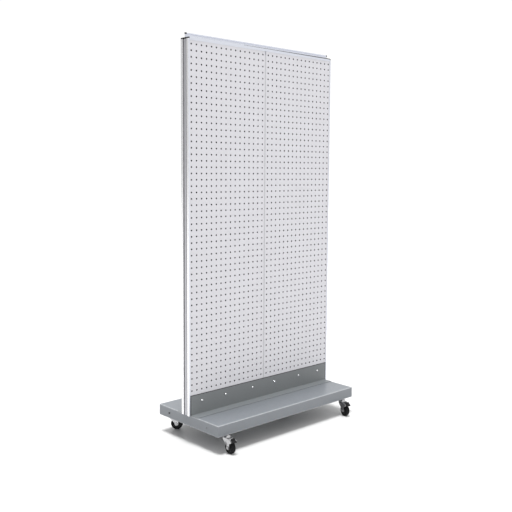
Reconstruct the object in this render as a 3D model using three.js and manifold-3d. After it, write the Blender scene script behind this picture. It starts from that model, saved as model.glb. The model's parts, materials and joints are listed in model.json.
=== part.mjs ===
// Two-sided pegboard floor display on a wheeled sheet-metal base.
// Millimetres. X is the width, -Y the front, +Z up. The floor is Z = 0 and the origin lies
// on it, midway between the two faces and midway between the two posts.
import * as THREE from 'three';
import Module from 'manifold-3d';
import { mergeVertices } from 'three/examples/jsm/utils/BufferGeometryUtils.js';

const wasm = await Module();
wasm.setup();

// ---- driving dimensions ----
const GAP = 0.3;                 // clearance between pieces that touch

// base
const BASE_W = 804;
const BASE_D = 400;
const DECK_TOP = 119.4;
const SKIRT_BOTTOM = 73.4;
const BASE_T = 1.5;              // sheet thickness
const HEM_H = 8;                 // folded hem along the foot of the skirts
const BASE_BEVEL = 2;
const STRIP_DEEP = 0.2;          // the deck is this much lower under posts and kick plates

// panel
const PANEL_W = 824;             // outer face to outer face of the posts
const POST_D = 51;
const POST_W = 20;               // box part of the post, across the panel
const FLANGE_W = 6.2;            // lip of the post over the board edge
const FLANGE_T = 1.3;
const GROOVE_W = 25;
const GROOVE_DEEP = 4;
const PANEL_TOP = 1645.4;       // top of the end caps
const BOARD_FACE = 23.9;         // front face of a board from the middle plane
const BOARD_T = 3.2;
const BOARD_OUTER = 409.2;
const BORDER_DEEP = 0.4;         // the covered border of a board is this much thinner
const SEAM_W = 6.1;              // strip of the mullion that shows between the boards
const CAP_T = 4.5;
const POST_TOP = PANEL_TOP - CAP_T - GAP;
const LIP_H = 10.5;              // lip of the top rail over the boards
const RAIL_T = 1.5;
const BOTTOM_RAIL_H = 79;

// header strip
const HEADER_HALF = 409.5;
const HEADER_WEB = 2;
const BEAD_R = 3.3;
const BEAD_BORE = 1.7;
const BEAD_Z = 1662;
const HEADER_FOOT_W = 16;

// kick plates
const KICK_TOP = 204.3;
const KICK_FOOT = 44;
const KICK_T = 1.5;
const SCREW_Z = 175;
const SCREW_X = [-345.9, -218.9, -66.5, 66.5, 218.9, 345.9];
const END_SCREW_Y = 127;
const END_SCREW_Z = 96;

// casters
const CASTER_X = 347;
const CASTER_Y = 188;
const TRAIL = 24;                // wheel axle behind the swivel axis
const WHEEL_R = 25.4;
const WHEEL_W = 18;
const WHEEL_SIDES = 24;
const AXLE_R = 4;
const LEG_IN = 11;
const LEG_T = 2;
const CROWN_Z = 60;
const CROWN_T = 2.3;
const CROWN_R = 16.5;
const STEM_R = 5;
const STEM_TOP = 92;
const SOCKET_R = 7.6;
const PIN_Y = -41;               // brake pin, in the caster's own frame
const PIN_Z = 54;
const PIN_R = 2;
const RAIL_INNER_X = 302;
const CASTER_RAIL_T = 2;

// ---- colours ----
const BOARD_GREY = 0xd9d9de;
const ALUMINIUM = 0xe4e5e8;
const BASE_GREY = 0x8c9296;
const KICK_GREY = 0x7c8084;
const STEEL = 0xb9bcc0;
const BLACK = 0x151517;
const TYRE_BLACK = 0x1c1c1e;

// ---- solids ----
function toSolid(geometry) {
  geometry.deleteAttribute('normal');
  geometry.deleteAttribute('uv');
  const merged = mergeVertices(geometry, 1e-5);
  return new wasm.Manifold(new wasm.Mesh({
    numProp: 3,
    vertProperties: new Float32Array(merged.attributes.position.array),
    triVerts: new Uint32Array(merged.index.array),
  }));
}

function block(x0, x1, y0, y1, z0, z1) {
  const g = new THREE.BoxGeometry(x1 - x0, y1 - y0, z1 - z0);
  g.translate((x0 + x1) / 2, (y0 + y1) / 2, (z0 + z1) / 2);
  return toSolid(g);
}

// Points as vectors, turned clockwise or counter-clockwise as asked.
function loop(points, clockwise) {
  const out = points.map(([a, b]) => new THREE.Vector2(a, b));
  return THREE.ShapeUtils.isClockWise(out) === clockwise ? out : out.reverse();
}

function shapeOf(points, holes = []) {
  const shape = new THREE.Shape(loop(points, false));
  shape.holes = holes.map((h) => new THREE.Path(loop(h, true)));
  return shape;
}

// Profile drawn in X and Y, raised along Z.
function extrudeZ(points, z0, z1, holes = []) {
  const g = new THREE.ExtrudeGeometry(shapeOf(points, holes), {
    depth: z1 - z0, bevelEnabled: false, curveSegments: 12,
  });
  g.translate(0, 0, z0);
  return toSolid(g);
}

// Profile drawn in Y and Z, drawn out along X.
function extrudeX(points, x0, x1, holes = []) {
  const g = new THREE.ExtrudeGeometry(shapeOf(points, holes), {
    depth: x1 - x0, bevelEnabled: false, curveSegments: 12,
  });
  g.applyMatrix4(new THREE.Matrix4().makeBasis(
    new THREE.Vector3(0, 1, 0), new THREE.Vector3(0, 0, 1), new THREE.Vector3(1, 0, 0)));
  g.translate(x0, 0, 0);
  return toSolid(g);
}

// Profile drawn in X and Z, drawn out along Y.
function extrudeY(points, y0, y1) {
  const g = new THREE.ExtrudeGeometry(shapeOf(points.map(([x, z]) => [-x, z])), {
    depth: y1 - y0, bevelEnabled: false, curveSegments: 12,
  });
  g.applyMatrix4(new THREE.Matrix4().makeBasis(
    new THREE.Vector3(-1, 0, 0), new THREE.Vector3(0, 0, 1), new THREE.Vector3(0, 1, 0)));
  g.translate(0, y0, 0);
  return toSolid(g);
}

// Round bar along an axis, centred on the two other coordinates.
function bar(axis, a, b, from, to, radius, sides = 20, radiusEnd = radius) {
  const g = new THREE.CylinderGeometry(radiusEnd, radius, to - from, sides);
  g.rotateY(Math.PI / sides);
  if (axis === 'z') {
    g.rotateX(Math.PI / 2);
    g.translate(a, b, (from + to) / 2);
  } else if (axis === 'x') {
    g.rotateZ(-Math.PI / 2);
    g.translate((from + to) / 2, a, b);
  } else {
    g.translate(a, (from + to) / 2, b);
  }
  return toSolid(g);
}

function join(...solids) {
  return solids.reduce((a, b) => a.add(b));
}

function cut(solid, ...tools) {
  return tools.reduce((a, b) => a.subtract(b), solid);
}

function circlePoints(cx, cy, r, from, to, steps) {
  const out = [];
  for (let i = 0; i <= steps; i += 1) {
    const t = from + ((to - from) * i) / steps;
    out.push([cx + r * Math.cos(t), cy + r * Math.sin(t)]);
  }
  return out;
}

// ---- scene ----
const root = new THREE.Group();
root.name = 'pegboard_floor_display';

function put(name, solid, color, metalness = 0.1, roughness = 0.5) {
  const m = solid.getMesh();
  const g = new THREE.BufferGeometry();
  g.setAttribute('position', new THREE.BufferAttribute(new Float32Array(m.vertProperties), 3));
  g.setIndex(new THREE.BufferAttribute(new Uint32Array(m.triVerts), 1));
  g.computeVertexNormals();
  const mesh = new THREE.Mesh(g, new THREE.MeshStandardMaterial({ color, metalness, roughness }));
  mesh.name = name;
  root.add(mesh);
  return mesh;
}

const SIDES = [['left', -1], ['right', 1]];
const FACES = [['front', -1], ['back', 1]];

// ---- base ----
function bevelledBlock(halfW, halfD, z0, z1, bevel) {
  const alongY = extrudeY([
    [-halfW, z0], [halfW, z0], [halfW, z1 - bevel],
    [halfW - bevel, z1], [-halfW + bevel, z1], [-halfW, z1 - bevel],
  ], -halfD, halfD);
  const alongX = extrudeX([
    [-halfD, z0], [halfD, z0], [halfD, z1 - bevel],
    [halfD - bevel, z1], [-halfD + bevel, z1], [-halfD, z1 - bevel],
  ], -halfW, halfW);
  return alongY.intersect(alongX);
}

function baseDeck() {
  const hw = BASE_W / 2;
  const hd = BASE_D / 2;
  const outer = bevelledBlock(hw, hd, SKIRT_BOTTOM, DECK_TOP, BASE_BEVEL);
  const inner = block(-hw + BASE_T, hw - BASE_T, -hd + BASE_T, hd - BASE_T,
    SKIRT_BOTTOM + HEM_H, DECK_TOP - BASE_T);
  const mouth = block(-hw + 2 * BASE_T, hw - 2 * BASE_T, -hd + 2 * BASE_T, hd - 2 * BASE_T,
    SKIRT_BOTTOM - 1, SKIRT_BOTTOM + HEM_H + 1);
  let deck = cut(outer, inner, mouth);
  for (const [, sx] of SIDES) {
    for (const [, sy] of FACES) {
      const near = Math.min(sx * (hw + 2), sx * (hw - 6));
      deck = cut(deck, bar('x', sy * END_SCREW_Y, END_SCREW_Z, near, near + 8, 2.5, 16));
    }
  }
  const strip = BOARD_FACE + GAP + KICK_FOOT + 0.4;
  return cut(deck, block(-hw - 1, hw + 1, -strip, strip, DECK_TOP - STRIP_DEEP, DECK_TOP + 1));
}

// Open-topped channel that runs front to back under each end of the deck, with a welded
// socket for each caster stem.
function casterRail(sx) {
  const outer = BASE_W / 2 - 2 * BASE_T - GAP;
  const len = BASE_D / 2 - 2 * BASE_T - GAP;
  const foot = SKIRT_BOTTOM + GAP;
  const head = DECK_TOP - BASE_T - GAP;
  const t = CASTER_RAIL_T;
  let rail = join(
    block(RAIL_INNER_X, outer, -len, len, foot, foot + t),
    block(RAIL_INNER_X, RAIL_INNER_X + t, -len, len, foot, head),
    block(outer - t, outer, -len, len, foot, head),
    block(RAIL_INNER_X, RAIL_INNER_X + 16, -len, len, head - t, head),
  );
  for (const [, sy] of FACES) {
    rail = rail.add(bar('z', CASTER_X, sy * CASTER_Y, foot, STEM_TOP + 2, SOCKET_R, 24));
    rail = cut(rail, bar('z', CASTER_X, sy * CASTER_Y, foot - 1, STEM_TOP + 3, STEM_R + GAP, 20));
    rail = cut(rail, bar('x', sy * END_SCREW_Y, END_SCREW_Z, outer - 5, outer + 2, 2.5, 16));
  }
  return sx > 0 ? rail : rail.mirror([1, 0, 0]);
}

// Pan-head screw along an axis. The head sits on the face at `seat`, outward along `sign`.
function screw(axis, a, b, seat, sign, headR, headT, shankR, shankL) {
  const s0 = seat + sign * GAP;
  const headTop = s0 + sign * headT;
  const tip = seat - sign * shankL;
  const head = bar(axis, a, b, Math.min(s0, headTop), Math.max(s0, headTop), headR, 16);
  const slot = bar(axis, a, b, Math.min(headTop - sign * 1.2, headTop + sign),
    Math.max(headTop - sign * 1.2, headTop + sign), headR * 0.42, 4);
  const shank = bar(axis, a, b, Math.min(tip, s0 + sign * 0.2), Math.max(tip, s0 + sign * 0.2),
    shankR, 12);
  return cut(join(head, shank), slot);
}

put('base_deck', baseDeck(), BASE_GREY, 0.35, 0.42);
for (const [side, sx] of SIDES) {
  put(`caster_rail_${side}`, casterRail(sx), STEEL, 0.6, 0.45);
  for (const [face, sy] of FACES) {
    put(`end_screw_${side}_${face}`, screw('x', sy * END_SCREW_Y, END_SCREW_Z,
      sx * (BASE_W / 2), sx, 4.2, 2.2, 2.1, 9), STEEL, 0.8, 0.3);
  }
}

// ---- panel frame ----
// Extruded post: grooved outer face, a lip over each board edge and a hollow box between.
function post(sx) {
  const d = POST_D / 2;
  const slotIn = 2.4;
  const lipBack = d - FLANGE_T;
  const boxFace = BOARD_FACE - BOARD_T - GAP;
  const g = GROOVE_W / 2;
  const half = [
    [0, -g], [0, -d], [FLANGE_W, -d], [FLANGE_W, -lipBack],
    [slotIn, -lipBack], [slotIn, -boxFace], [POST_W, -boxFace],
  ];
  const other = half.slice().reverse().map(([u, v]) => [u, -v]);
  const outline = [[GROOVE_DEEP, -g], ...half, ...other, [GROOVE_DEEP, g]];
  const hollow = [[GROOVE_DEEP + 2, -boxFace + 2], [POST_W - 2, -boxFace + 2],
    [POST_W - 2, boxFace - 2], [GROOVE_DEEP + 2, boxFace - 2]];
  const solid = extrudeZ(
    outline.map(([u, v]) => [PANEL_W / 2 - u, v]),
    DECK_TOP + GAP, POST_TOP,
    [hollow.map(([u, v]) => [PANEL_W / 2 - u, v])],
  );
  return sx > 0 ? solid : solid.mirror([1, 0, 0]);
}

// Black end cap over the post: a rim that shows, a plate under the top rail's cover and a plug
// down the hollow.
function endCap(sx) {
  const x1 = PANEL_W / 2;
  const d = POST_D / 2;
  const z0 = PANEL_TOP - CAP_T;
  const rim = extrudeZ([
    [x1 - FLANGE_W, -d], [x1 - 1.5, -d], [x1, -d + 1.5],
    [x1, d - 1.5], [x1 - 1.5, d], [x1 - FLANGE_W, d],
  ], z0, PANEL_TOP);
  const under = d - FLANGE_T - 2 * GAP;
  const plate = block(x1 - POST_W, x1 - FLANGE_W + 1, -under, under, z0, PANEL_TOP);
  const boxFace = BOARD_FACE - BOARD_T - GAP;
  const plug = block(x1 - POST_W + 2.5, x1 - GROOVE_DEEP - 2.5,
    -boxFace + 2.5, boxFace - 2.5, z0 - 14, z0 + 1);
  const solid = join(rim, plate, plug);
  return sx > 0 ? solid : solid.mirror([1, 0, 0]);
}

for (const [side, sx] of SIDES) {
  put(`post_${side}`, post(sx), ALUMINIUM, 0.5, 0.35);
  put(`end_cap_${side}`, endCap(sx), BLACK, 0, 0.5);
}

// Box tube on the deck, between the posts and behind the foot of the boards.
const INNER_FACE = BOARD_FACE - BOARD_T - GAP;
const INNER_X = PANEL_W / 2 - POST_W - GAP;
const bottomZ = DECK_TOP + GAP;
const bottomTop = bottomZ + BOTTOM_RAIL_H;
let bottomRail = extrudeX(
  [[-INNER_FACE, bottomZ], [INNER_FACE, bottomZ], [INNER_FACE, bottomTop], [-INNER_FACE, bottomTop]],
  -INNER_X, INNER_X,
  [[[-INNER_FACE + 2, bottomZ + 2], [INNER_FACE - 2, bottomZ + 2],
    [INNER_FACE - 2, bottomTop - 2], [-INNER_FACE + 2, bottomTop - 2]]],
);
for (const x of SCREW_X) {
  bottomRail = cut(bottomRail, bar('y', x, SCREW_Z, -INNER_FACE - 1, INNER_FACE + 1, 2.4, 12));
}
put('bottom_rail', bottomRail, STEEL, 0.5, 0.45);

// Mullion: a box behind the seam with a narrow strip out to each face.
const boardTop = POST_TOP - 0.3;
const railLow = boardTop - 21;
const stripHalf = SEAM_W / 2 - GAP;
const strip = [[-14, -INNER_FACE], [-stripHalf, -INNER_FACE], [-stripHalf, -BOARD_FACE],
  [stripHalf, -BOARD_FACE], [stripHalf, -INNER_FACE], [14, -INNER_FACE]];
put('mullion', extrudeZ(
  [...strip, ...strip.slice().reverse().map(([x, y]) => [x, -y])],
  bottomTop + GAP, railLow - GAP,
  [[[-12, -INNER_FACE + 2], [12, -INNER_FACE + 2], [12, INNER_FACE - 2], [-12, INNER_FACE - 2]]],
), ALUMINIUM, 0.4, 0.4);

// Top rail: a cover over the boards with a lip down each face and a box between the boards.
const railTop = PANEL_TOP + GAP + RAIL_T;
const lipIn = POST_D / 2 - FLANGE_T;
const coverHalf = PANEL_W / 2 - FLANGE_W - GAP;
const railHalf = INNER_X;
const lip = [
  [-POST_D / 2, railTop], [-POST_D / 2, PANEL_TOP - LIP_H],
  [-lipIn, PANEL_TOP - LIP_H], [-lipIn, PANEL_TOP + GAP],
];
const cover = extrudeX(
  [...lip, ...lip.slice().reverse().map(([y, z]) => [-y, z])], -coverHalf, coverHalf,
);
const railBox = cut(
  block(-railHalf, railHalf, -INNER_FACE, INNER_FACE, railLow, railTop - 0.5),
  block(-railHalf - 1, railHalf + 1, -INNER_FACE + 2, INNER_FACE - 2, railLow + 2, PANEL_TOP - 0.5),
);
put('top_rail', join(cover, railBox), ALUMINIUM, 0.5, 0.35);

// Header strip: a foot on the top rail, an upright web and a hollow bead along the top.
const footZ = railTop + GAP;
const web = HEADER_WEB / 2;
const foot = HEADER_FOOT_W / 2;
const header = cut(
  join(
    block(-railHalf + 4, railHalf - 4, -foot, foot, footZ, footZ + 1.5),
    block(-HEADER_HALF, HEADER_HALF, -web, web, footZ, BEAD_Z),
    bar('x', 0, BEAD_Z, -HEADER_HALF, HEADER_HALF, BEAD_R, 20),
  ),
  bar('x', 0, BEAD_Z, -HEADER_HALF - 1, HEADER_HALF + 1, BEAD_BORE, 12),
);
put('header_strip', header, ALUMINIUM, 0.5, 0.35);

// ---- boards and kick plates ----
// The open field of a board stands proud of the border that lips, rail and kick plate cover.
const FIELD_X = PANEL_W / 2 - FLANGE_W - GAP;
for (const [face, sy] of FACES) {
  for (const [side, sx] of SIDES) {
    const x0 = Math.min(sx * SEAM_W / 2, sx * BOARD_OUTER);
    const x1 = Math.max(sx * SEAM_W / 2, sx * BOARD_OUTER);
    const field = [SEAM_W / 2, FIELD_X].map((x) => sx * x).sort((a, b) => a - b);
    let board = join(
      block(x0, x1, BOARD_FACE - BOARD_T, BOARD_FACE - BORDER_DEEP, DECK_TOP + GAP, boardTop),
      block(field[0], field[1], BOARD_FACE - BOARD_T, BOARD_FACE,
        KICK_TOP + GAP, PANEL_TOP - LIP_H - GAP),
    );
    board = sy > 0 ? board : board.mirror([0, 1, 0]);
    for (const x of SCREW_X) {
      if (x > x0 && x < x1) {
        const mid = sy * (BOARD_FACE - BOARD_T / 2);
        board = cut(board, bar('y', x, SCREW_Z, mid - BOARD_T, mid + BOARD_T, 2.4, 12));
      }
    }
    put(`board_${face}_${side}`, board, BOARD_GREY, 0, 0.6);
  }
}

// Angle plate: an upright leg on the board and a foot out along the deck.
function kickPlate(sy) {
  const y0 = BOARD_FACE + GAP;
  const foot0 = DECK_TOP + GAP;
  const half = PANEL_W / 2 - FLANGE_W - GAP;
  const wide = BASE_W / 2 - 1;
  const leg = block(-half, half, y0, y0 + KICK_T, foot0, KICK_TOP);
  const sole = block(-half, half, y0, y0 + 6, foot0, foot0 + KICK_T);
  const toe = block(-wide, wide, POST_D / 2 + GAP, y0 + KICK_FOOT, foot0, foot0 + KICK_T);
  let plate = join(leg, sole, toe);
  for (const x of SCREW_X) {
    plate = cut(plate, bar('y', x, SCREW_Z, y0 - 1, y0 + KICK_T + 1, 2.4, 12));
  }
  return sy > 0 ? plate : plate.mirror([0, 1, 0]);
}

for (const [face, sy] of FACES) {
  put(`kick_plate_${face}`, kickPlate(sy), KICK_GREY, 0.35, 0.45);
  SCREW_X.forEach((x, i) => {
    put(`kick_screw_${face}_${i + 1}`, screw('y', x, SCREW_Z,
      sy * (BOARD_FACE + GAP + KICK_T), sy, 4.4, 2.2, 2.0, 12), STEEL, 0.8, 0.3);
  });
}

// ---- casters ----
// Each caster is drawn about its swivel axis with the wheel trailing towards -Y, then placed.
// Grip stem, hex collar, upper bearing cup and kingpin.
function casterStem() {
  const seat = SKIRT_BOTTOM;
  return join(
    bar('z', 0, 0, seat - 1, STEM_TOP, STEM_R, 20),
    bar('z', 0, 0, seat - 3.4, seat, 9.2, 6),
    bar('z', 0, 0, CROWN_Z + CROWN_T + 2.9, seat - 3, 15.5, 28, 11),
    bar('z', 0, 0, CROWN_Z - 2, seat - 3, 4.5, 20),
    bar('z', 0, 0, CROWN_Z - 3.3, CROWN_Z - GAP, 7, 20),
  );
}

function fork() {
  const z1 = CROWN_Z + CROWN_T;
  const ay = -TRAIL;
  const leg = [
    [11, z1], [11, 55],
    ...circlePoints(ay, WHEEL_R, 8.5, Math.PI * 0.12, -Math.PI * 1.02, 9),
    [PIN_Y + 8.5, 43], [PIN_Y - 3, 48.6], [PIN_Y - 5, 51.5], [PIN_Y - 5, 56], [PIN_Y - 1.5, 58.8],
    [-19, z1],
  ].reverse();
  const crown = extrudeZ([
    ...circlePoints(0, 0, CROWN_R, Math.PI * 0.12, Math.PI * 0.88, 12),
    [-LEG_IN - LEG_T, 4], [-LEG_IN - LEG_T, -21], [LEG_IN + LEG_T, -21], [LEG_IN + LEG_T, 4],
  ], CROWN_Z, z1);
  const race = bar('z', 0, 0, z1 - 0.5, z1 + 2.6, 16, 28, 14.5);
  let solid = join(
    crown, race,
    extrudeX(leg, LEG_IN, LEG_IN + LEG_T),
    extrudeX(leg, -LEG_IN - LEG_T, -LEG_IN),
  );
  solid = cut(
    solid,
    bar('z', 0, 0, CROWN_Z - 1, z1 + 4, 4.8, 20),
    bar('x', ay, WHEEL_R, -LEG_IN - 4, LEG_IN + 4, AXLE_R + GAP, 20),
    bar('x', PIN_Y, PIN_Z, -LEG_IN - 4, LEG_IN + 4, PIN_R + GAP, 16),
  );
  return solid;
}

function wheel() {
  const k = 1 / Math.cos(Math.PI / WHEEL_SIDES);
  const w = WHEEL_W / 2;
  const profile = [
    [0, -w - 0.5], [8, -w - 0.5], [8, -w + 2], [17.5, -w + 2], [18.5, -w],
    [WHEEL_R - 2, -w], [WHEEL_R * k, -w + 2.4], [WHEEL_R * k, w - 2.4],
    [WHEEL_R - 2, w], [18.5, w], [17.5, w - 2], [8, w - 2], [8, w + 0.5], [0, w + 0.5],
  ].map(([r, h]) => new THREE.Vector2(r, h));
  const g = new THREE.LatheGeometry(profile, WHEEL_SIDES);
  g.rotateY(Math.PI / WHEEL_SIDES);
  g.rotateZ(-Math.PI / 2);
  g.translate(0, -TRAIL, WHEEL_R);
  return cut(toSolid(g), bar('x', -TRAIL, WHEEL_R, -w - 2, w + 2, AXLE_R + GAP, 20));
}

// Bolt through both legs and the wheel, with a hex head and a hex nut.
function axle() {
  const out = LEG_IN + LEG_T + GAP;
  return join(
    bar('x', -TRAIL, WHEEL_R, -out - 1, out + 4, AXLE_R, 20),
    bar('x', -TRAIL, WHEEL_R, -out - 3.2, -out, 6.6, 6),
    bar('x', -TRAIL, WHEEL_R, out, out + 3.2, 6.6, 6),
  );
}

function brakePin() {
  const out = LEG_IN + LEG_T + GAP;
  return join(
    bar('x', PIN_Y, PIN_Z, -out - 0.5, out + 0.5, PIN_R, 16),
    bar('x', PIN_Y, PIN_Z, -out - 1.4, -out, 3.4, 16),
    bar('x', PIN_Y, PIN_Z, out, out + 1.4, 3.4, 16),
  );
}

// Rocker on the brake pin: an outer pedal, an upper release tab and a cam next to the tread.
function brakeLever() {
  const half = LEG_IN - 0.6;
  const barrel = bar('x', PIN_Y, PIN_Z, -half, half, 4.2, 20);
  const cam = extrudeX([
    [PIN_Y - 3.5, PIN_Z - 1], [PIN_Y - 2.4, PIN_Z - 6.6], [PIN_Y - 0.2, PIN_Z - 7.2],
    [PIN_Y + 1.4, PIN_Z - 5.8], [PIN_Y + 3.6, PIN_Z - 1],
  ], -6, 6);
  const pedal = extrudeX([
    [PIN_Y - 2, PIN_Z + 3.6], [PIN_Y - 2, PIN_Z], [PIN_Y - 7, PIN_Z - 1.3],
    [PIN_Y - 12.6, PIN_Z - 3.4], [PIN_Y - 13.2, PIN_Z - 1], [PIN_Y - 7, PIN_Z + 2.2],
  ], -half, half);
  const tab = extrudeX([
    [PIN_Y - 3.8, PIN_Z + 1], [PIN_Y + 1.5, PIN_Z + 3], [PIN_Y + 2.8, PIN_Z + 12],
    [PIN_Y + 0.2, PIN_Z + 12.4], [PIN_Y - 2.2, PIN_Z + 8],
  ], -half + 1.5, half - 1.5);
  return cut(
    join(barrel, cam, pedal, tab),
    bar('x', PIN_Y, PIN_Z, -half - 1, half + 1, PIN_R + GAP, 16),
  );
}

// Each swivels freely, so they stand turned by different amounts (degrees, last column).
const CASTERS = [
  ['front_left', -1, -1, -4], ['front_right', 1, -1, -14],
  ['back_left', -1, 1, 40], ['back_right', 1, 1, 192],
];
for (const [place, sx, sy, turn] of CASTERS) {
  const at = (solid) => solid.rotate([0, 0, turn]).translate([sx * CASTER_X, sy * CASTER_Y, 0]);
  put(`caster_stem_${place}`, at(casterStem()), STEEL, 0.8, 0.3);
  put(`caster_fork_${place}`, at(fork()), STEEL, 0.8, 0.3);
  put(`caster_axle_${place}`, at(axle()), STEEL, 0.8, 0.3);
  put(`caster_wheel_${place}`, at(wheel()), TYRE_BLACK, 0, 0.6);
  put(`brake_pin_${place}`, at(brakePin()), STEEL, 0.8, 0.3);
  put(`brake_lever_${place}`, at(brakeLever()), BLACK, 0, 0.5);
}

export default root;
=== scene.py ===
"""Looks for the two-sided pegboard floor display on casters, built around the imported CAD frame.

Metres, in the CAD frame: floor at Z = 0, -Y out of the front face, +X to the right of it.
"""

import json
import math

import bmesh
import bpy
from mathutils import Matrix, Vector
from mathutils.geometry import tessellate_polygon


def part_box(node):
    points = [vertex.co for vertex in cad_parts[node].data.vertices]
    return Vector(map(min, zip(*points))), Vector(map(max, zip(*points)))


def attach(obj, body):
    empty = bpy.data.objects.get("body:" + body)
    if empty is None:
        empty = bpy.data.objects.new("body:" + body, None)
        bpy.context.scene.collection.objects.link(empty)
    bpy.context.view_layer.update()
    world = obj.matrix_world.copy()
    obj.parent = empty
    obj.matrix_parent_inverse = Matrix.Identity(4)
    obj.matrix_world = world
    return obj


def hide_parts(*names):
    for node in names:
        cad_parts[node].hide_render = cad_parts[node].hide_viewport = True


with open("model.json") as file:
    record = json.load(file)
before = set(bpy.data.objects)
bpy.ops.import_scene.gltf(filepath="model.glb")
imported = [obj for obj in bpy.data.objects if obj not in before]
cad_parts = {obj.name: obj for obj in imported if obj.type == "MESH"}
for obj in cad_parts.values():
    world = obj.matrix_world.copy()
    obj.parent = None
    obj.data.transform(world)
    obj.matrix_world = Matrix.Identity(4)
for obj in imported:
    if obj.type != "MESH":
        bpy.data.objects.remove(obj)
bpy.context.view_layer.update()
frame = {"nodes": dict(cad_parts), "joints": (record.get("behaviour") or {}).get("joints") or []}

NODES = frame["nodes"]
JOINTS = {joint["name"]: joint for joint in frame["joints"]}
MM = 0.001
FACES = (("front", -1), ("back", 1))
ENDS = (("left", -1), ("right", 1))
PLACES = ("front_left", "front_right", "back_left", "back_right")


def add_object(name, data):
    made = bpy.data.objects.new(name, data)
    bpy.context.scene.collection.objects.link(made)
    return made


# ---------------------------------------------------------------- camera and studio
def make_camera():
    """The camera found from the hook holes and the corners of the base."""
    right = Vector((0.71172, -0.70239, 0.01015))
    down = Vector((-0.05783, -0.07299, -0.99565))
    forward = Vector((0.70007, 0.70804, -0.09257))
    turn = Matrix((right, -down, -forward)).transposed().to_4x4()
    data = bpy.data.cameras.new("camera")
    data.sensor_width = 36
    data.lens = 53.35
    data.shift_x = -0.0713
    data.shift_y = -0.0328
    camera = add_object("camera", data)
    camera.matrix_world = Matrix.Translation((-2.2444, -2.4697, 1.1351)) @ turn
    bpy.context.scene.camera = camera


def make_world():
    """A white backdrop for the camera, and a room that is brightest high at the front right."""
    world = bpy.data.worlds.new("studio")
    bpy.context.scene.world = world
    world.use_nodes = True
    tree = world.node_tree
    tree.nodes.clear()
    output = tree.nodes.new("ShaderNodeOutputWorld")
    mix = tree.nodes.new("ShaderNodeMixShader")
    path = tree.nodes.new("ShaderNodeLightPath")
    backdrop = tree.nodes.new("ShaderNodeBackground")
    backdrop.inputs["Color"].default_value = (1, 1, 1, 1)
    backdrop.inputs["Strength"].default_value = 1.05
    room = tree.nodes.new("ShaderNodeBackground")
    ramp = tree.nodes.new("ShaderNodeValToRGB")
    coord = tree.nodes.new("ShaderNodeTexCoord")
    aim = tree.nodes.new("ShaderNodeVectorMath")
    aim.operation = "DOT_PRODUCT"
    aim.inputs[1].default_value = Vector((0.60, -0.45, 0.66)).normalized()
    ramp.color_ramp.elements[0].position = 0.0
    ramp.color_ramp.elements[0].color = (0.35, 0.355, 0.365, 1)
    ramp.color_ramp.elements[1].position = 0.8
    ramp.color_ramp.elements[1].color = (1.0, 1.0, 1.0, 1)
    remap = tree.nodes.new("ShaderNodeMapRange")
    remap.inputs["From Min"].default_value = -1.0
    room.inputs["Strength"].default_value = 1.05
    link = tree.links.new
    link(coord.outputs["Generated"], aim.inputs[0])
    link(aim.outputs["Value"], remap.inputs["Value"])
    link(remap.outputs["Result"], ramp.inputs["Fac"])
    link(ramp.outputs["Color"], room.inputs["Color"])
    link(path.outputs["Is Camera Ray"], mix.inputs["Fac"])
    link(room.outputs["Background"], mix.inputs[1])
    link(backdrop.outputs["Background"], mix.inputs[2])
    link(mix.outputs["Shader"], output.inputs["Surface"])


def make_sun():
    """One wide overhead light, which gives the soft shadow under the base."""
    sun = bpy.data.lights.new("overhead", "SUN")
    sun.energy = 3.7
    sun.angle = math.radians(20)
    lamp = add_object("overhead", sun)
    lamp.rotation_mode = "QUATERNION"
    lamp.rotation_quaternion = Vector((0.10, 0.01, -1.0)).to_track_quat("-Z", "Y")


def make_floor(half):
    """A white floor that reaches half metres each way."""
    mesh = bpy.data.meshes.new("floor")
    mesh.from_pydata(
        [(-half, -half, 0), (half, -half, 0), (half, half, 0), (-half, half, 0)],
        [], [(0, 1, 2, 3)],
    )
    mesh.materials.append(finish("floor_white", (0.66, 0.66, 0.66), 0.0, 0.35,
                                 tone=0.004, tone_scale=3.0, gloss=0.35))
    add_object("floor", mesh)


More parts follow.
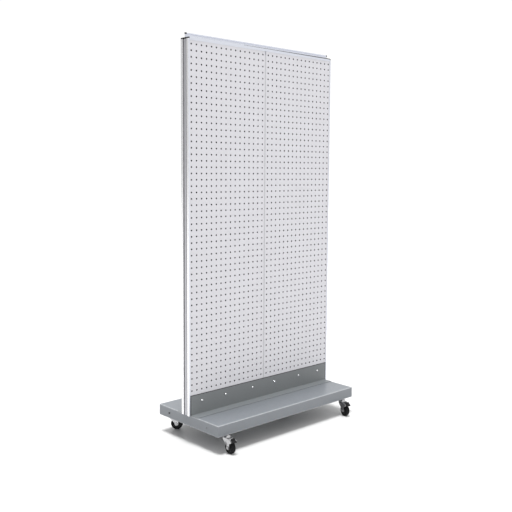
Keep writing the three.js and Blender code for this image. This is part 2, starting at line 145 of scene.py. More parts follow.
# ---------------------------------------------------------------- materials
def finish(name, color, metal, rough, tone=0.03, tone_scale=30.0, stretch=(1, 1, 1),
           rough_vary=0.06, bump=0.0, bump_scale=1500.0, gloss=0.5, edge_wear_and_highlight=None, specks=None):
    """A procedural finish: tone and roughness drift over the surface, with a fine bump.

    tone and rough_vary are how far the drift goes each way. stretch squeezes the pattern along
    an axis, for drawn metal. The lighter edge colour shows where the mesh's attribute of the same
    name is high: edge wear together with a painted highlight. specks is the colour of fine
    fibres.
    """
    material = bpy.data.materials.new(name)
    material.use_nodes = True
    tree = material.node_tree
    tree.nodes.clear()
    link = tree.links.new

    def node(kind, **inputs):
        made = tree.nodes.new(kind)
        for key, value in inputs.items():
            made.inputs[key].default_value = value
        return made

    output = node("ShaderNodeOutputMaterial")
    shader = node("ShaderNodeBsdfPrincipled")
    shader.inputs["Metallic"].default_value = metal
    shader.inputs["Specular IOR Level"].default_value = gloss
    link(shader.outputs["BSDF"], output.inputs["Surface"])
    coord = node("ShaderNodeTexCoord")
    mapping = node("ShaderNodeMapping", Scale=stretch)
    link(coord.outputs["Object"], mapping.inputs["Vector"])

    def noise(scale, detail):
        made = node("ShaderNodeTexNoise", Scale=scale, Detail=detail)
        link(mapping.outputs["Vector"], made.inputs["Vector"])
        return made.outputs["Fac"]

    def colour_mix(factor, high):
        """A mix towards the colour high. Its A side is left for the caller."""
        made = node("ShaderNodeMix")
        made.data_type = "RGBA"
        made.inputs["B"].default_value = (*high, 1)
        link(factor, made.inputs["Factor"])
        return made

    drift = colour_mix(noise(tone_scale, 6.0), [min(c * (1 + tone), 1) for c in color])
    drift.inputs["A"].default_value = (*[c * (1 - tone) for c in color], 1)
    shade = drift.outputs["Result"]
    if specks:
        spots = node("ShaderNodeMapRange")
        spots.inputs["From Min"].default_value = 0.50
        spots.inputs["From Max"].default_value = 0.72
        link(noise(tone_scale * 14, 3.0), spots.inputs["Value"])
        over = colour_mix(spots.outputs["Result"], specks)
        link(shade, over.inputs["A"])
        shade = over.outputs["Result"]
    # The lighter edge colour: edge wear, and a painted highlight along the bends and the hem.
    if edge_wear_and_highlight:
        edge = node("ShaderNodeAttribute")
        edge.attribute_name = "edge_wear_and_highlight"
        patch = node("ShaderNodeMapRange")
        patch.inputs["From Min"].default_value = -0.20
        patch.inputs["From Max"].default_value = 0.62
        link(noise(70.0, 5.0), patch.inputs["Value"])
        amount = node("ShaderNodeMath")
        amount.operation = "MULTIPLY"
        link(edge.outputs["Fac"], amount.inputs[0])
        link(patch.outputs["Result"], amount.inputs[1])
        over = colour_mix(amount.outputs["Value"], edge_wear_and_highlight)
        link(shade, over.inputs["A"])
        shade = over.outputs["Result"]
    link(shade, shader.inputs["Base Color"])

    gloss_map = node("ShaderNodeMapRange")
    gloss_map.inputs["To Min"].default_value = max(rough - rough_vary, 0.02)
    gloss_map.inputs["To Max"].default_value = min(rough + rough_vary, 1)
    link(noise(tone_scale * 5, 4.0), gloss_map.inputs["Value"])
    link(gloss_map.outputs["Result"], shader.inputs["Roughness"])
    if bump:
        relief = node("ShaderNodeBump", Strength=bump, Distance=0.0002)
        link(noise(bump_scale, 3.0), relief.inputs["Height"])
        link(relief.outputs["Normal"], shader.inputs["Normal"])
    return material


def make_finishes():
    return {
        "board": finish("board_paint", (0.61, 0.605, 0.635), 0.0, 0.52, tone=0.02,
                        tone_scale=18, bump=0.12, bump_scale=700, gloss=0.4),
        # Raw hardboard fibre darkened to near black: painted shade on the hole walls and the
        # hidden back.
        "board_raw_and_hole_shade": finish("board_raw_and_hole_shade", (0.006, 0.005, 0.005), 0.0, 0.9, tone=0.25,
                            tone_scale=90, bump=0.4, bump_scale=900, gloss=0.05,
                            specks=(0.012, 0.010, 0.009)),
        "seam": finish("seam_strip", (0.47, 0.47, 0.49), 0.0, 0.5, tone=0.02, tone_scale=18,
                       bump=0.08, bump_scale=700, gloss=0.4),
        "post": finish("post_aluminium", (0.95, 0.95, 0.96), 0.85, 0.26, tone=0.015,
                       tone_scale=60, stretch=(14, 14, 0.25), rough_vary=0.03),
        "groove": finish("groove_aluminium", (0.52, 0.52, 0.545), 0.75, 0.42, tone=0.14,
                         tone_scale=45, stretch=(16, 16, 0.2), rough_vary=0.10, bump=0.08,
                         bump_scale=300),
        # Much darker than the groove: painted shade on the groove floor either side of the rib.
        "channel": finish("groove_channel_painted_shade", (0.20, 0.20, 0.215), 0.6, 0.5, tone=0.14,
                          tone_scale=45, stretch=(16, 16, 0.2), rough_vary=0.10, bump=0.08,
                          bump_scale=300),
        "rail": finish("rail_aluminium", (0.65, 0.67, 0.735), 0.85, 0.32, tone=0.015,
                       tone_scale=60, stretch=(0.25, 14, 14), rough_vary=0.03),
        "header": finish("header_aluminium", (0.64, 0.66, 0.725), 0.8, 0.28, tone=0.015,
                         tone_scale=60, stretch=(0.25, 14, 14), rough_vary=0.03),
        # Its lighter edge colour is wear together with a painted highlight on the bends.
        "base": finish("base_powder_coat", (0.166, 0.179, 0.196), 0.0, 0.34, tone=0.03,
                       tone_scale=14, bump=0.16, bump_scale=900, gloss=0.55,
                       edge_wear_and_highlight=(0.36, 0.375, 0.39)),
        # Leg and toe are one sheet in one paint; the leg's colour is a little darker, painted
        # shade on the upright face.
        "kick": finish("kick_leg_coat_painted_darker", (0.160, 0.171, 0.176), 0.0, 0.38, tone=0.02,
                       tone_scale=14, bump=0.10, bump_scale=900, gloss=0.5),
        "toe": finish("toe_powder_coat", (0.168, 0.181, 0.190), 0.0, 0.36, tone=0.02,
                      tone_scale=14, bump=0.10, bump_scale=900, gloss=0.5),
        # Near black: painted shade, a band along the kick plate's top and ends for the shadow
        # gaps there.
        "trim": finish("kick_painted_shade_band", (0.018, 0.018, 0.020), 0.0, 0.5, tone=0.10,
                       tone_scale=60, bump=0.10, bump_scale=900, gloss=0.2),
        "zinc": finish("zinc_plate", (0.50, 0.50, 0.51), 1.0, 0.20, tone=0.08, tone_scale=60,
                       rough_vary=0.10, bump=0.08, bump_scale=500),
        "screw": finish("screw_zinc", (0.86, 0.86, 0.87), 1.0, 0.24, tone=0.06, tone_scale=300,
                        rough_vary=0.08, bump=0.06, bump_scale=1500),
        # Near black: painted shade for the dark recess at the back screw holes of the base ends.
        "screw_dark": finish("screw_head_painted_shade", (0.03, 0.03, 0.032), 0.4, 0.45, tone=0.10,
                             tone_scale=300, bump=0.06, bump_scale=1500),
        "screw_grey": finish("screw_painted", (0.16, 0.17, 0.18), 0.0, 0.45, tone=0.05,
                             tone_scale=300, bump=0.06, bump_scale=1500),
        "cap": finish("cap_black", (0.008, 0.008, 0.009), 0.0, 0.55, tone=0.15,
                      tone_scale=150, bump=0.18, bump_scale=1100, gloss=0.15),
        "lever": finish("lever_black", (0.008, 0.008, 0.009), 0.0, 0.46, tone=0.15,
                        tone_scale=150, bump=0.18, bump_scale=1100, gloss=0.2),
        "tread": finish("tread_rubber", (0.007, 0.007, 0.008), 0.0, 0.62, tone=0.25,
                        tone_scale=120, bump=0.25, bump_scale=800, gloss=0.12),
        "core": finish("wheel_core", (0.010, 0.010, 0.011), 0.0, 0.4, tone=0.15,
                       tone_scale=150, bump=0.10, bump_scale=900, gloss=0.2),
    }


# ---------------------------------------------------------------- mesh tools
def shade_smooth(mesh, bend):
    """Smooth shading, broken at the edges that turn by more than bend degrees."""
    mesh.polygons.foreach_set("use_smooth", [True] * len(mesh.polygons))
    mesh.update()
    mesh.set_sharp_from_angle(angle=math.radians(bend))


def piece(name, verts, faces, finishes, indices=None, bend=30.0):
    """An object from points in metres. indices gives the place of each face in finishes."""
    mesh = bpy.data.meshes.new(name)
    mesh.from_pydata([tuple(v) for v in verts], [], faces)
    for key in finishes:
        mesh.materials.append(FINISH[key])
    if indices:
        mesh.polygons.foreach_set("material_index", indices)
    shade_smooth(mesh, bend)
    return add_object(name, mesh)


def outward(made, bend=30.0):
    """Turns every face outwards and marks the sharp edges again."""
    shell = bmesh.new()
    shell.from_mesh(made.data)
    bmesh.ops.recalc_face_normals(shell, faces=shell.faces)
    shell.to_mesh(made.data)
    shell.free()
    made.data.set_sharp_from_angle(angle=math.radians(bend))
    return made


def soften(made, width, segments=2, angle=30.0):
    """Rounds the edges sharper than angle, so that they catch the light."""
    bevel = made.modifiers.new("edges", "BEVEL")
    bevel.width = width
    bevel.segments = segments
    bevel.limit_method = "ANGLE"
    bevel.angle_limit = math.radians(angle)
    bevel.harden_normals = True
    bevel.miter_outer = "MITER_ARC"
    return made


def combine(made, tool, operation):
    """Joins tool to the piece or cuts it away, and removes tool."""
    change = made.modifiers.new("change", "BOOLEAN")
    change.operation = operation
    change.object = tool
    change.solver = "EXACT"
    graph = bpy.context.evaluated_depsgraph_get()
    mesh = bpy.data.meshes.new_from_object(made.evaluated_get(graph))
    made.modifiers.clear()
    made.data = mesh
    bpy.data.objects.remove(tool)
    shade_smooth(mesh, 30)
    return made


def fillet(points, radius, steps=3):
    """The closed loop with its corners rounded. radius is one number or one for each corner."""
    straight, most = math.radians(175), 0.49
    count = len(points)
    radii = radius if isinstance(radius, (list, tuple)) else [radius] * count
    out = []
    for i, (corner, r) in enumerate(zip(points, radii)):
        corner = Vector(corner)
        before = Vector(points[i - 1]) - corner
        after = Vector(points[(i + 1) % count]) - corner
        angle = before.angle(after)
        if r <= 0 or angle > straight:
            out.append(tuple(corner))
            continue
        reach = min(r / math.tan(angle / 2), before.length * most, after.length * most)
        start = corner + before.normalized() * reach
        end = corner + after.normalized() * reach
        for k in range(steps + 1):
            t = k / steps
            out.append(tuple(start * (1 - t) ** 2 + corner * 2 * t * (1 - t) + end * t ** 2))
    return out


def circle(x, y, radius, sides, start=0.0):
    """Points round a circle, from the angle start."""
    return [(x + radius * math.cos(start + 2 * math.pi * k / sides),
             y + radius * math.sin(start + 2 * math.pi * k / sides)) for k in range(sides)]


def spot(axis, along, u, v):
    """A point from its place along an axis and the two other coordinates."""
    return {"x": (along, u, v), "y": (u, along, v), "z": (u, v, along)}[axis]


def extrusion(name, loops, axis, low, high, finishes, pick=None):
    """A bar of one section. loops holds the outline, then its holes, in millimetres.

    low and high are numbers, or functions of the section point. pick gives a wall's finish.
    """
    low_of = low if callable(low) else lambda u, v: low
    high_of = high if callable(high) else lambda u, v: high
    verts, faces, indices = [], [], []
    flat = [point for loop in loops for point in loop]
    total = len(flat)
    for end in (low_of, high_of):
        verts += [Vector(spot(axis, end(u, v), u, v)) * MM for u, v in flat]
    offset = 0
    for loop in loops:
        for i in range(len(loop)):
            a, b = offset + i, offset + (i + 1) % len(loop)
            faces.append((a, b, b + total, a + total))
            indices.append(pick(flat[a], flat[b]) if pick else 0)
        offset += len(loop)
    caps = tessellate_polygon([[Vector((u, v, 0)) for u, v in loop] for loop in loops])
    for a, b, c in caps:
        faces += [(a, b, c), (a + total, b + total, c + total)]
        indices += [0, 0]
    return outward(piece(name, verts, faces, finishes, indices))


def lathe(name, profile, sides, finishes, pick=None, closed=True):
    """Turns a profile of (radius, along) in millimetres round the X axis."""
    verts, faces, indices = [], [], []
    for k in range(sides):
        turn = 2 * math.pi * k / sides
        verts += [Vector((h, r * math.cos(turn), r * math.sin(turn))) * MM for r, h in profile]
    count = len(profile)
    for k in range(sides):
        here, there = k * count, (k + 1) % sides * count
        for i in range(count if closed else count - 1):
            j = (i + 1) % count
            faces.append((here + i, here + j, there + j, there + i))
            indices.append(pick(profile[i], profile[j]) if pick else 0)
    if not closed:
        faces.append(tuple(k * count for k in range(sides)))
        faces.append(tuple(k * count + count - 1 for k in range(sides)))
        indices += [0, 0]
    return outward(piece(name, verts, faces, finishes, indices))


def bake_in(made, matrix):
    """Moves the mesh itself, so that the object keeps its identity transform."""
    made.data.transform(matrix)
    return made


def stand_for(made, node, body="stand"):
    """Parents the piece to its body's empty and hides the CAD node that it takes the place of."""
    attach(made, body)
    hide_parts(node)
    return made


def refined(node, key, body, width, segments=2):
    """The CAD solid with its flat faces merged and its edges rounded by width."""
    merge_gap, flat_angle, edge_angle = 1e-6, math.radians(0.6), 32
    shell = bmesh.new()
    shell.from_mesh(NODES[node].data)
    bmesh.ops.remove_doubles(shell, verts=shell.verts, dist=merge_gap)
    bmesh.ops.dissolve_limit(shell, angle_limit=flat_angle, verts=shell.verts,
                             edges=shell.edges)
    mesh = bpy.data.meshes.new(node + "_piece")
    shell.to_mesh(mesh)
    shell.free()
    mesh.materials.clear()
    mesh.materials.append(FINISH[key])
    mesh.polygons.foreach_set("material_index", [0] * len(mesh.polygons))
    shade_smooth(mesh, edge_angle)
    made = add_object(node + "_piece", mesh)
    soften(made, width, segments=segments, angle=edge_angle)
    return stand_for(made, node, body)


# ---------------------------------------------------------------- base
def rounded_rectangle(half_x, half_y, radius, steps):
    """A rectangle about the origin, each corner rounded in steps straight pieces."""
    out = []
    for quadrant, (sx, sy) in enumerate(((1, 1), (-1, 1), (-1, -1), (1, -1))):
        for k in range(steps + 1):
            turn = math.pi / 2 * (quadrant + k / steps)
            out.append((sx * (half_x - radius) + radius * math.cos(turn),
                        sy * (half_y - radius) + radius * math.sin(turn)))
    return out


def base_deck():
    """One folded sheet: deck, skirts with rounded bends, and a hem rolled in at the foot."""
    low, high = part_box("base_deck")
    half_x, half_y = high.x / MM, high.y / MM
    foot, top = low.z / MM, high.z / MM
    sheet, bend, hem, inset = 1.5, 1.9, 8.0, 40.0
    corner, least_corner, steps = 1.8, 0.15, 5
    bend_steps, hem_steps, inner_steps = 6, 8, 3
    # Each ring goes round the base: its distance in from the edge, its height and its share of
    # the lighter edge colour, which is wear with a painted highlight on the bends and the hem.
    rings = [(inset, top, 0.0), (12.0, top, 0.0), (bend + 1.5, top, 0.1)]
    for k in range(bend_steps + 1):
        turn = math.pi / 2 * k / bend_steps
        rings.append((bend - bend * math.sin(turn), top - bend + bend * math.cos(turn), 1.0))
    rings += [(0, top - bend - 1.5, 0.1), (0, foot + 6.0, 0.0), (0, foot + sheet + 0.8, 0.2)]
    for k in range(hem_steps + 1):
        turn = math.pi * k / hem_steps
        rings.append((sheet - sheet * math.cos(turn), foot + sheet - sheet * math.sin(turn), 0.8))
    inner_bend = bend - sheet
    rings += [(2 * sheet, foot + hem, 0.0), (sheet + 0.05, foot + hem + 0.3, 0.0),
              (sheet, top - bend, 0.0)]
    for k in range(1, inner_steps + 1):
        turn = math.pi / 2 * k / inner_steps
        rings.append((bend - inner_bend * math.cos(turn),
                      top - bend + inner_bend * math.sin(turn), 0.0))
    rings.append((inset, top - sheet, 0.0))
    verts, edge_wear_and_highlight = [], []
    for inward, z, wear_and_highlight_share in rings:
        radius = max(corner - inward, least_corner)
        loop = rounded_rectangle(half_x - inward, half_y - inward, radius, steps)
        verts += [Vector((x, y, z)) * MM for x, y in loop]
        edge_wear_and_highlight += [wear_and_highlight_share] * len(loop)
    count = 4 * (steps + 1)
    faces = []
    for r in range(len(rings) - 1):
        for i in range(count):
            a, b = r * count + i, r * count + (i + 1) % count
            faces.append((a, b, b + count, a + count))
    faces.append(tuple(range(count)))
    faces.append(tuple(range((len(rings) - 1) * count, len(rings) * count)))
    made = piece("base_shell", verts, faces, ["base"])
    made.data.attributes.new("edge_wear_and_highlight", "FLOAT", "POINT").data.foreach_set("value", edge_wear_and_highlight)
    return stand_for(outward(made, bend=40), "base_deck")


def kick_plate(face, side):
    """Angle of folded sheet: a leg on the board with painted shade as a dark band, a toe along
    the deck.
    """
    low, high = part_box(f"kick_plate_{face}")
    near = min(abs(low.y), abs(high.y)) / MM
    far = max(abs(low.y), abs(high.y)) / MM
    foot, top = low.z / MM, high.z / MM
    sheet, band, band_end, curl, toe_inset = 1.5, 2.2, 3.2, 2.6, 4.5
    toe_from = near + 6
    leg_half = high.x / MM
    toe_half = leg_half - toe_inset
    quarter = [math.pi / 2 * k / 5 for k in range(6)]

    def bend(radius, turns):
        return [(near + curl - radius * math.cos(t), foot + curl - radius * math.sin(t))
                for t in turns]

    body = bend(curl, quarter) + [(far, foot), (far, foot + sheet)]
    body += bend(curl - sheet, quarter[::-1]) + [(near + sheet, top - band), (near, top - band)]
    upright = [(near + sheet, top - band), (near + sheet, top), (near, top), (near, top - band)]

    def turned(points):
        return points if side > 0 else [(-y, z) for y, z in points][::-1]

    def half(y, _):
        return toe_half if abs(y) > toe_from else leg_half - band_end

    name = f"kick_angle_{face}"
    # The upright leg takes the darker copy of the paint as painted shade, the toe the lighter
    # one.
    made = extrusion(name, [turned(body)], "x", lambda y, z: -half(y, z), half, ["kick", "toe"],
                     pick=lambda a, b: int(abs(a[0]) + abs(b[0]) > 2 * near + 6))
    # Painted shade: the dark top band and end strips stand in for the shadow gaps round the leg.
    rim = extrusion(name + "_rim", [turned(upright)], "x", -leg_half, leg_half, ["trim"])
    stand_for(rim, f"kick_plate_{face}")
    for end in (-1, 1):
        ends = sorted((end * (leg_half - band_end), end * leg_half))
        strip = [(near, foot), (near + sheet, foot),
                 (near + sheet, top - band), (near, top - band)]
        piece_name = f"{name}_edge_{'left' if end < 0 else 'right'}"
        edge = extrusion(piece_name, [turned(strip)], "x", *ends, ["trim"])
        stand_for(edge, f"kick_plate_{face}")
    return stand_for(made, f"kick_plate_{face}")


def screw_mesh(name, radius, height, shank_radius, shank, key):
    """Pan head with a cross recess, along +X, its seat at X = 0."""
    slot_reach, slot_half, slot_depth = radius * 0.56, 0.45, 1.1
    head = [(radius - 0.25, 0.0), (radius, 0.25), (radius * 0.97, height * 0.45),
            (radius * 0.85, height * 0.75), (radius * 0.62, height * 0.93),
            (radius * 0.30, height)]
    profile = [(0.25, -shank), (shank_radius * 0.8, -shank + 0.4), (shank_radius, -shank + 1.6),
               (shank_radius, 0.0), *head, (0.02, height)]
    made = lathe(name, profile, 24, [key], closed=False)
    for turn in (0, math.pi / 2):
        slot = extrusion("slot", [[(-slot_reach, -slot_half), (slot_reach, -slot_half),
                                   (slot_reach, slot_half), (-slot_reach, slot_half)]],
                         "x", height - slot_depth, height + 1, [key])
        bake_in(slot, Matrix.Rotation(turn + math.pi / 4, 4, "X"))
        combine(made, slot, "DIFFERENCE")
    return made


def make_screws():
    """The kick plates' screws and the two kinds in the base ends, each seated on its node."""
    head = 2.2
    kick = screw_mesh("kick_screw_shape", 4.4, head, 2.0, 11.5, "screw")
    grey = screw_mesh("end_screw_shape", 4.2, head, 2.1, 8.5, "screw_grey")
    dark = screw_mesh("dark_screw_shape", 4.2, head, 2.1, 8.5, "screw_dark")
    jobs = []
    for face, side in FACES:
        for i in range(1, 7):
            jobs.append((f"kick_screw_{face}_{i}", kick, Vector((0, side, 0)), 37.0 * i))
    for end, side in ENDS:
        jobs.append((f"end_screw_{end}_front", grey, Vector((side, 0, 0)), 20.0))
        # The back screws take the near-black heads, painted shade.
        jobs.append((f"end_screw_{end}_back", dark, Vector((side, 0, 0)), 65.0))
    for node, shape, out, turn in jobs:
        low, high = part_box(node)
        centre = (low + high) / 2
        reach = max(low.dot(out), high.dot(out))
        seat = centre + out * (reach - centre.dot(out) - head * MM)
        mesh = shape.data.copy()
        rotation = out.to_track_quat("X", "Z").to_matrix().to_4x4()
        mesh.transform(Matrix.Translation(seat) @ rotation
                       @ Matrix.Rotation(math.radians(turn), 4, "X"))
        stand_for(add_object(node + "_piece", mesh), node)
    for shape in (kick, grey, dark):
        bpy.data.objects.remove(shape)


# ---------------------------------------------------------------- panel
# The hook holes, in millimetres: HOLE is the radius, FIRST_COLUMN its distance from the middle
# of the panel and TOP_ROW its height.
PITCH = 25.4
HOLE = 3.55
HOLE_SIDES = 16
FIRST_COLUMN = 15.7
TOP_ROW = 1620.0
COLUMNS, ROWS = 16, 59

# The frame round the boards: its flange over a board, and the hidden box section behind.
FLANGE = 1.3
BOX_INSET = 5.1
BOX_WALL = 2

# How far a dark piece stands out of the metal that it lies on.
PROUD = 0.02


def perforated_board(face, front, end, side):
    """A board with its whole grid of hook holes, each with a softened rim on its shown face."""
    node = f"board_{face}_{end}"
    low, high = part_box(node)
    x0, x1 = low.x / MM, high.x / MM
    z0, z1 = low.z / MM, high.z / MM
    show = (low.y if front < 0 else high.y) / MM
    back = (high.y if front < 0 else low.y) / MM
    rim = 0.2
    rim_y = show - front * rim
    columns = sorted(side * (FIRST_COLUMN + PITCH * j) for j in range(COLUMNS))
    rows = sorted(TOP_ROW - PITCH * k for k in range(ROWS))
    edges_x = [x0] + [(a + b) / 2 for a, b in zip(columns, columns[1:])] + [x1]
    edges_z = [z0, rows[0] - PITCH / 2] + [(a + b) / 2 for a, b in zip(rows, rows[1:])]
    edges_z += [rows[-1] + PITCH / 2, z1]
    # Two layers of points, the shown face (0) and the back (1). Every cell has a hole, apart
    # from those of the plain strips along the foot and the top.
    verts, faces, indices = [], [], []
    wide = len(edges_x)
    for y in (show, back):
        for z in edges_z:
            verts += [Vector((x, y, z)) * MM for x in edges_x]
    layer = wide * len(edges_z)

    def corner(i, j, sheet):
        return sheet * layer + j * wide + i

    def add(loop, index):
        faces.append(loop)
        indices.append(index)

    for j in range(len(edges_z) - 1):
        for i in range(wide - 1):
            corners = [(i, j), (i + 1, j), (i + 1, j + 1), (i, j + 1)]
            if not 1 <= j <= ROWS:
                add(tuple(corner(a, b, 0) for a, b in corners), 0)
                add(tuple(corner(a, b, 1) for a, b in corners)[::-1], 1)
                continue
            base = len(verts)
            start = -3 * math.pi / 4  # the first point of a hole looks at the cell's first corner
            for radius, y in ((HOLE + rim, show), (HOLE, rim_y), (HOLE, back)):
                verts += [Vector((x, y, z)) * MM for x, z in
                          circle(columns[i], rows[j - 1], radius, HOLE_SIDES, start)]
            quarter = HOLE_SIDES // 4
            for q in range(4):
                arc = [(q * quarter + k) % HOLE_SIDES for k in range(quarter + 1)]
                a, b = corners[q], corners[(q + 1) % 4]
                add((corner(*a, 0), corner(*b, 0), *[base + k for k in reversed(arc)]), 0)
                add((corner(*b, 1), corner(*a, 1), *[base + 2 * HOLE_SIDES + k for k in arc]), 1)
            # The hole walls below the rim take the near-black raw finish, painted shade inside
            # the holes.
            for k in range(HOLE_SIDES):
                n = (k + 1) % HOLE_SIDES
                add((base + k, base + n, base + HOLE_SIDES + n, base + HOLE_SIDES + k), 0)
                first, second = base + HOLE_SIDES, base + 2 * HOLE_SIDES
                add((first + k, first + n, second + n, second + k), 1)
    # The narrow sides of the board.
    last_x, last_z = wide - 1, len(edges_z) - 1
    around = [(i, 0) for i in range(last_x)] + [(last_x, j) for j in range(last_z)]
    around += [(i, last_z) for i in range(last_x, 0, -1)] + [(0, j) for j in range(last_z, 0, -1)]
    for a, b in zip(around, around[1:] + around[:1]):
        add((corner(*b, 0), corner(*a, 0), corner(*a, 1), corner(*b, 1)), 0)
    made = outward(piece(f"pegboard_{face}_{end}", verts, faces, ["board", "board_raw_and_hole_shade"], indices))
    return stand_for(made, node)


def post(end, side):
    """Extruded post: two raised bands, a sunk groove between them and a lip on each board."""
    low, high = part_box(f"post_{end}")
    outer = (high.x if side > 0 else -low.x) / MM
    z0, z1 = low.z / MM, high.z / MM
    half = high.y / MM
    groove, deep, lip, lip_in = 12.5, 4.0, 6.2, half - FLANGE
    box_face, box_in, rib, rise, wall = half - BOX_INSET, 20.0, 6.0, 1.2, 2.4
    # One half of the section, as the distance in from the outer face and the place along Y.
    upper = [(deep - rise, rib - 0.4), (deep, rib), (deep, groove), (0, groove), (0, half),
             (lip, half), (lip, lip_in), (wall, lip_in), (wall, box_face), (box_in, box_face)]
    radii = [0.2, 0.2, 0.4, 0.8, 1.2, 0.5, 0.2, 0.2, 0.2, 1.0]
    outline = upper + [(u, -v) for u, v in reversed(upper)]
    outline = fillet(outline, radii + radii[::-1], steps=4)
    bore_y = box_face - BOX_WALL
    bore = fillet([(deep + BOX_WALL, -bore_y), (box_in - BOX_WALL, -bore_y),
                   (box_in - BOX_WALL, bore_y), (deep + BOX_WALL, bore_y)], 0.8)
    loops = [[(side * (outer - u), v) for u, v in loop] for loop in (outline, bore)]

    finishes = ["post", "groove", "channel", "rail", "cap"]

    def pick(a, b):
        """The lip's face, the hidden box behind the outer holes in black as painted shade, the
        bands and the groove.
        """
        shallow, deepest = sorted(outer - abs(p[0]) for p in (a, b))
        near, far = sorted(abs(p[1]) for p in (a, b))
        if near > half - 0.3 and deepest > 0.8:
            return finishes.index("rail")
        # The hidden box behind the outer holes takes the black cap finish: painted shade.
        if far < half - 3 and shallow > 2.2 and abs(a[1]) > groove + 3:
            return finishes.index("cap")
        if shallow < 0.8 or deepest > deep + 0.5 or abs(a[1]) > groove + 0.3:
            return finishes.index("post")
        # The strips either side of the rib take the dark channel finish, painted shade.
        return finishes.index("groove" if far < rib - 0.2 else "channel")

    made = extrusion(f"post_extrusion_{end}", loops, "z", z0, z1, finishes, pick)
    return stand_for(made, f"post_{end}")


def top_rail():
    """Cover over the boards with a rolled lip down each face, and a box between the boards."""
    low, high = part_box("top_rail")
    half_x, half_y = high.x / MM, high.y / MM
    z0, z1 = low.z / MM, high.z / MM
    sheet, lip, lip_in, inner = 1.5, 12.3, half_y - FLANGE, half_y - BOX_INSET
    box_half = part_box("bottom_rail")[1].x / MM
    lips = [(half_y, z1), (half_y, z1 - lip), (lip_in, z1 - lip), (lip_in, z1 - sheet)]
    radii = [1.3, 0.5, 0.5, 0.3]
    outline = fillet(lips + [(-y, z) for y, z in reversed(lips)], radii + radii[::-1], steps=5)
    made = extrusion("top_rail_extrusion", [outline], "x", -half_x, half_x, ["rail", "cap"])
    box = fillet([(-inner, z0), (inner, z0), (inner, z1 - 0.5), (-inner, z1 - 0.5)],
                 [0.8, 0.8, 0, 0])
    bore_y, bore_top = inner - BOX_WALL, z1 - sheet - 1.5
    bore = fillet([(-bore_y, z0 + BOX_WALL), (bore_y, z0 + BOX_WALL), (bore_y, bore_top),
                   (-bore_y, bore_top)], 0.8)
    # The hidden box is painted black as shade, so that it does not shine through the top row of
    # holes.
    tube = extrusion("rail_box", [box, bore], "x", -box_half, box_half, ["rail", "cap"],
                     pick=lambda a, b: 1)
    combine(made, tube, "UNION")
    wide, behind = 2.5, inner + 0.2
    backing = [(-wide, -behind), (wide, -behind), (wide, behind), (-wide, behind)]
    combine(made, extrusion("seam_backing", [backing], "z", z0, z1 - 1, ["rail", "cap"]), "UNION")
    # A painted dark reflection along the rail's front top edge: a black strip that widens towards
    # the right end.
    front, rear, over = -half_y - PROUD, -half_y + 0.6, z1 + PROUD
    reflection_line = []
    for x, drop in ((-0.3 * half_x, 0.6), (half_x, 3.4)):
        reflection_line += [Vector((x, y, z)) * MM for y, z in (
            (front, z1 - drop), (front, over), (rear, over), (rear, z1 - drop))]
    walls = [(a, (a + 1) % 4, (a + 1) % 4 + 4, a + 4) for a in range(4)]
    line = outward(piece("rail_painted_reflection_line", reflection_line, [*walls, (0, 1, 2, 3), (4, 5, 6, 7)], ["cap"]))
    stand_for(line, "top_rail")
    return stand_for(made, "top_rail")


def header_strip():
    """Thin web with a hollow round bead along its top and a foot screwed to the top rail."""
    low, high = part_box("header_strip")
    half_x = high.x / MM
    top, foot = high.z / MM, low.z / MM
    radius, bore, web, sides, plug_length = 3.3, 1.7, 1.0, 28, 7
    centre = top - radius
    gap = math.asin(web / radius)
    arc = [-math.pi / 2 + gap + (2 * math.pi - 2 * gap) * k / sides for k in range(sides + 1)]
    bead = [(radius * math.cos(t), centre + radius * math.sin(t)) for t in arc]
    outline = [(-web, foot), (web, foot), *bead]
    made = extrusion("header_extrusion", [outline, circle(0, centre, bore, 20)], "x",
                     -half_x, half_x, ["header"])
    shoe_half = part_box("bottom_rail")[1].x / MM - 4
    shoe_y, shoe_top = 8, foot + 1.5
    section = fillet([(-shoe_y, foot), (shoe_y, foot), (shoe_y, shoe_top), (-shoe_y, shoe_top)],
                     0.4)
    shoe = extrusion("shoe", [section], "x", -shoe_half, shoe_half, ["header"])
    combine(made, shoe, "UNION")
    stand_for(made, "header_strip")
    for end, side in ENDS:
        reach = sorted((side * (half_x - plug_length), side * half_x))
        plug = extrusion(f"bead_plug_{end}", [circle(0, centre, radius + PROUD, sides)], "x",
                         *reach, ["cap"])
        stand_for(plug, "header_strip")


# ---------------------------------------------------------------- casters
def joint_frame(joint):
    """Axes of a caster joint: X along the joint, Z up, at the joint's place."""
    across = Vector(joint["axis"]).normalized()
    up = Vector((0, 0, 1))
    return Matrix.Translation(joint["pos_m"]) @ Matrix(
        (across, up.cross(across), up)).transposed().to_4x4()


def wheel(place):
    """Wheel with a crowned tread, a recessed core and a raised hub."""
    radius, half, rounding = 25.4, 9.0, 2.8
    shoulder = [(radius - rounding + rounding * math.sin(t),
                 half - rounding + rounding * math.cos(t))
                for t in (math.pi / 2 * k / 6 for k in range(7))]
    # One side of the wheel from the bore outwards: hub, recessed core and tread.
    right = [(4.3, half + 0.5), (7.4, half + 0.5), (8.0, half), (8.3, half - 2.4),
             (9.0, half - 2.8), (16.6, half - 2.8), (17.4, half - 2.4), (17.8, half - 0.5),
             (18.2, half - 0.1), (18.8, half - 0.1), (19.1, half), *shoulder]
    profile = right + [(r, -h) for r, h in reversed(right)]
    sides, tread_from = 72, 18.3
    made = lathe(f"wheel_{place}", profile, sides, ["tread", "core"],
                 pick=lambda a, b: 0 if min(a[0], b[0]) > tread_from else 1)
    bake_in(made, joint_frame(JOINTS[f"wheel_spin_{place}"]))
    return stand_for(made, f"caster_wheel_{place}", f"wheel_{place}")


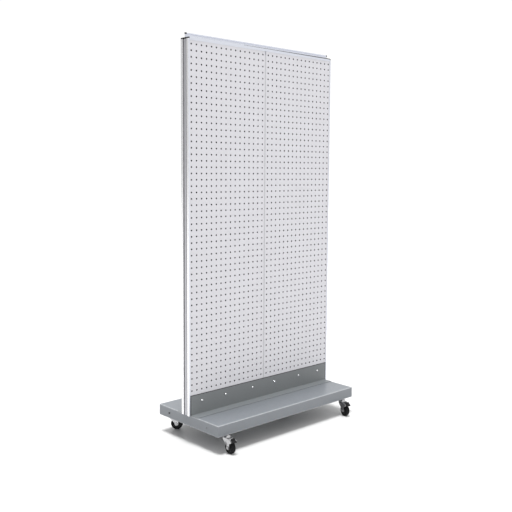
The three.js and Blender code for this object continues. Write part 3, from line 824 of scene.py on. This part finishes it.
def brake_lever(place):
    """Rocker on the brake pin: ribbed pedal, upper release tab and a cam over the tread."""
    half, ribs = 10.4, 3
    pedal = [(-2.0, 3.4), (-2.0, -0.2), (-7.0, -1.3), (-12.4, -3.3), (-13.2, -1.2)]
    start, end = Vector((-12.2, -1.0)), Vector((-7.4, 1.4))
    for k in range(ribs):
        for share, raised in ((0.0, 0.0), (0.25, 0.6), (0.55, 0.6), (0.8, 0.0)):
            at = start.lerp(end, (k + share) / ribs)
            pedal.append((at.x - 0.3 * raised, at.y + raised))
    pedal.append((-6.6, 2.0))
    tab = [(-3.6, 1.0), (1.5, 3.0), (2.7, 11.9), (0.3, 12.3), (-2.1, 8.0)]
    cam = [(-3.3, -1.0), (-2.3, -6.4), (-0.2, -7.0), (1.3, -5.7), (3.4, -1.0)]
    parts = [(fillet(pedal, 0.25, steps=1), half), (fillet(tab, 0.6), half - 1.5),
             (fillet(cam, 0.5), 6.0)]
    made = extrusion(f"lever_{place}", [circle(0, 0, 4.2, 28, 0.05)], "x", -half, half, ["lever"])
    for loop, reach in parts:
        combine(made, extrusion("part", [loop], "x", -reach, reach, ["lever"]), "UNION")
    combine(made, extrusion("part", [circle(0, 0, 2.3, 20)], "x", -half - 1, half + 1,
                            ["lever"]), "DIFFERENCE")
    bake_in(made, joint_frame(JOINTS[f"brake_hinge_{place}"]))
    soften(made, 0.0003, segments=2, angle=40)
    return stand_for(made, f"brake_lever_{place}", f"brake_{place}")


def make_casters():
    for place in PLACES:
        body = f"caster_{place}"
        for part, carrier, rounding in (("caster_stem", "stand", 0.0003),
                                        ("caster_fork", body, 0.0004),
                                        ("caster_axle", body, 0.0004),
                                        ("brake_pin", body, 0.0003)):
            refined(f"{part}_{place}", "zinc", carrier, rounding)
        wheel(place)
        brake_lever(place)


# ---------------------------------------------------------------- everything
bpy.context.scene.view_settings.view_transform = "Standard"
bpy.context.scene.view_settings.look = "None"
make_camera()
FINISH = make_finishes()
make_world()
make_sun()
make_floor(18.0)

base_deck()
for end in ("left", "right"):
    refined(f"caster_rail_{end}", "base", "stand", 0.0005)
for face, front in FACES:
    kick_plate(face, front)
    for end, side in ENDS:
        perforated_board(face, front, end, side)
make_screws()
for end, side in ENDS:
    post(end, side)
    refined(f"end_cap_{end}", "cap", "stand", 0.0006, segments=3)
refined("bottom_rail", "rail", "stand", 0.0008)
refined("mullion", "seam", "stand", 0.0003)
top_rail()
header_strip()
make_casters()
